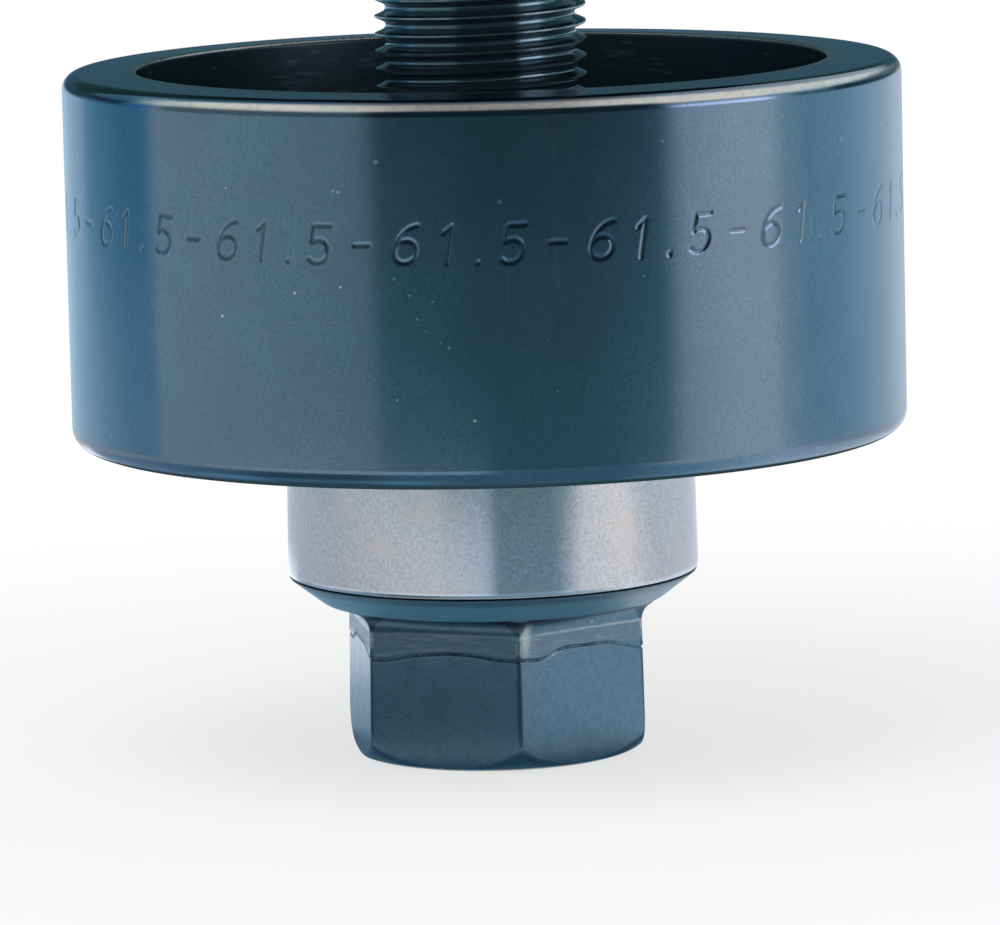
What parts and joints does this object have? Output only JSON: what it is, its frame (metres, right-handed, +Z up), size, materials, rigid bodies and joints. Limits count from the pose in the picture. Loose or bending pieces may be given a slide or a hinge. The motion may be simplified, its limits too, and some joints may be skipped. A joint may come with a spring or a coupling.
{
  "type": "knockout punch",
  "caption": "Round knockout punch for thin sheet metal: cup-shaped die on a ball thrust bearing, hex-headed draw stud through it, and a two-pointed punch screwed on the stud.",
  "frame": {"origin": "centre of the hex head's flat end, which it stands on", "axes": "+Z up along the draw stud towards the punch; +X towards one of the punch's two points"},
  "size_m": [0.0756, 0.0756, 0.1012],
  "materials": {
    "forged_black": "black oxide on a drop forging, satin, pale along worn corners",
    "die_black": "black oxide on turned steel, satin with a blue cast, bright worn edges",
    "punch_black": "black oxide on turned and ground steel",
    "plated_shell": "drawn steel, plated, fine grained satin",
    "bearing_steel": "hardened and ground",
    "ball_steel": "polished ball",
    "cage_brass": "machined brass"
  },
  "bodies": {
    "head_and_stud": {"draw_stud": "forged_black", "lower_race": "bearing_steel"},
    "bearing_cap": {"bearing_shell": "plated_shell", "upper_race": "bearing_steel"},
    "ball_row": {"ball_cage": "cage_brass", "bearing_ball_01": "ball_steel", "bearing_ball_02": "ball_steel", "bearing_ball_03": "ball_steel", "bearing_ball_04": "ball_steel", "bearing_ball_05": "ball_steel", "bearing_ball_06": "ball_steel", "bearing_ball_07": "ball_steel", "bearing_ball_08": "ball_steel", "bearing_ball_09": "ball_steel", "bearing_ball_10": "ball_steel", "bearing_ball_11": "ball_steel", "bearing_ball_12": "ball_steel", "bearing_ball_13": "ball_steel", "bearing_ball_14": "ball_steel"},
    "die_cup": {"die": "die_black"},
    "punch_head": {"punch": "punch_black"}
  },
  "joints": [
    {"name": "head_turn", "type": "hinge", "parent": "head_and_stud", "child": "bearing_cap", "pos_m": [0, 0, 0.0165], "axis": [0, 0, 1], "range_deg": [-5400, 3960]},
    {"name": "ball_row_turn", "type": "hinge", "parent": "head_and_stud", "child": "ball_row", "pos_m": [0, 0, 0.0165], "axis": [0, 0, 1], "range_deg": [-2701, 1981]},
    {"name": "die_lift", "type": "slide", "parent": "bearing_cap", "child": "die_cup", "axis": [0, 0, 1], "range_m": [0, 0.01]},
    {"name": "punch_travel", "type": "slide", "parent": "bearing_cap", "child": "punch_head", "axis": [0, 0, 1], "range_m": [-0.02382, 0.01747]}
  ],
  "couplings": [
    {"joint": "ball_row_turn", "follows": "head_turn", "ratio": 0.5},
    {"joint": "punch_travel", "follows": "head_turn", "m_per_rad": 0.00025266}
  ]
}
